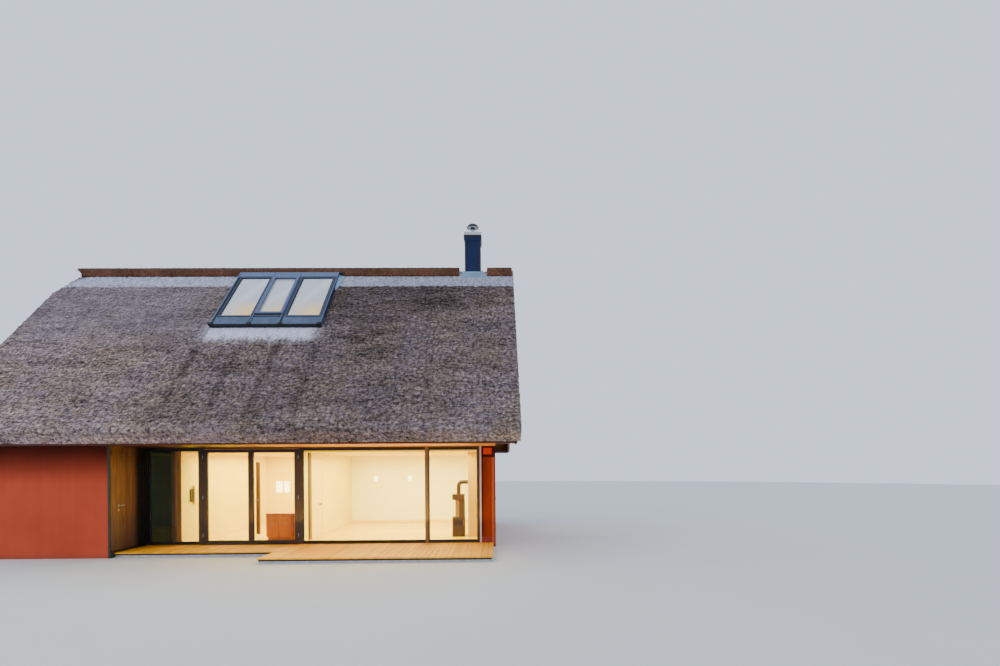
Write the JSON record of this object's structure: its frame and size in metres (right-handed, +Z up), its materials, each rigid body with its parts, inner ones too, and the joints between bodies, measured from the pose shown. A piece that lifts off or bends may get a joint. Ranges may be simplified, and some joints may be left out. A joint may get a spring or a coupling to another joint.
{
  "type": "thatched cottage",
  "caption": "Thatched cottage with a recessed glazed porch under the eave, French doors, a boarded side door, a skylight, a heather ridge and a clad chimney.",
  "frame": {"origin": "on the ground, under the middle of the ridge", "axes": "+X along the ridge, to the right for someone facing the porch; -Y is the porch front; +Z up"},
  "size_m": [11.77, 8.942, 8.56],
  "materials": {
    "thatch": "weathered reed thatch, grey-brown",
    "heather": "dark heather ridge",
    "render": "brick-red lime render",
    "plaster": "cream painted plaster",
    "concrete": "pale concrete",
    "timber": "oiled brown boards",
    "rafter": "sawn softwood",
    "soffit": "oiled orange-brown boards",
    "deck": "oiled tan boards",
    "floorboards": "waxed boards",
    "frame": "dark brown painted timber",
    "corner": "grey-green painted timber",
    "glass": "clear double glazing",
    "roof_glass": "clear glazing under sky",
    "window": "dark brown painted casement with clear pane",
    "lead": "blue-grey painted aluminium",
    "cladding": "dark navy painted sheet",
    "cowl": "black painted steel",
    "handle": "satin steel",
    "stove": "rust-brown enamelled iron",
    "cabinet": "warm pine"
  },
  "bodies": {
    "root": {"ground_floor": "floorboards", "upper_floor": "plaster", "deck": "deck", "front_wall_left": "render", "back_wall": "render", "gable_wall_left": "render", "gable_wall_right": "render", "porch_beam": "rafter", "corner_post": "corner", "side_wall_back": "timber", "side_wall_over_door": "timber", "glazing_sill": "frame", "glazing_head": "frame", "glazing_jamb_left": "frame", "glazing_post_left": "frame", "glazing_post_right": "frame", "glazing_mullion": "frame", "glazing_jamb_right": "frame", "pane_hall": "glass", "pane_large": "glass", "pane_end": "glass", "eave_soffit_front": "soffit", "eave_soffit_back": "soffit", "porch_ceiling": "soffit", "roof_boards_front": "rafter", "roof_boards_back": "rafter", "thatch_front": "thatch", "thatch_back": "thatch", "barge_boards_left": "timber", "barge_boards_right": "timber", "ridge_cap_left": "heather", "ridge_cap_right": "heather", "skylight_frame": "lead", "skylight_pane_left": "roof_glass", "skylight_pane_middle": "roof_glass", "skylight_pane_right": "roof_glass", "chimney_breast": "plaster", "chimney_shaft": "concrete", "chimney_stack": "cladding", "chimney_crown": "concrete", "chimney_cowl": "cowl", "window_back_1": "window", "window_back_2": "window", "window_left_ground": "window", "window_left_loft": "window", "window_right_ground": "window", "window_right_loft": "window", "partition_living": "plaster", "partition_hall": "plaster", "kitchen_counter": "cabinet", "stove": "stove", "stove_flue": "cowl"},
    "side_door": {"side_door": "timber", "side_door_handle": "handle"},
    "french_left": {"french_door_left": "frame", "french_glass_left": "glass"},
    "french_right": {"french_door_right": "frame", "french_glass_right": "glass"}
  },
  "joints": [
    {"name": "side_door_hinge", "type": "hinge", "parent": "root", "child": "side_door", "pos_m": [-2.796, -2.34, 0.1], "axis": [0, 0, 1], "range_deg": [0, 90]},
    {"name": "french_left_hinge", "type": "hinge", "parent": "root", "child": "french_left", "pos_m": [-1.5125, -2.114, 0.1], "axis": [0, 0, -1], "range_deg": [0, 90]},
    {"name": "french_right_hinge", "type": "hinge", "parent": "root", "child": "french_right", "pos_m": [0.7275, -2.114, 0.1], "axis": [0, 0, 1], "range_deg": [0, 90]}
  ]
}
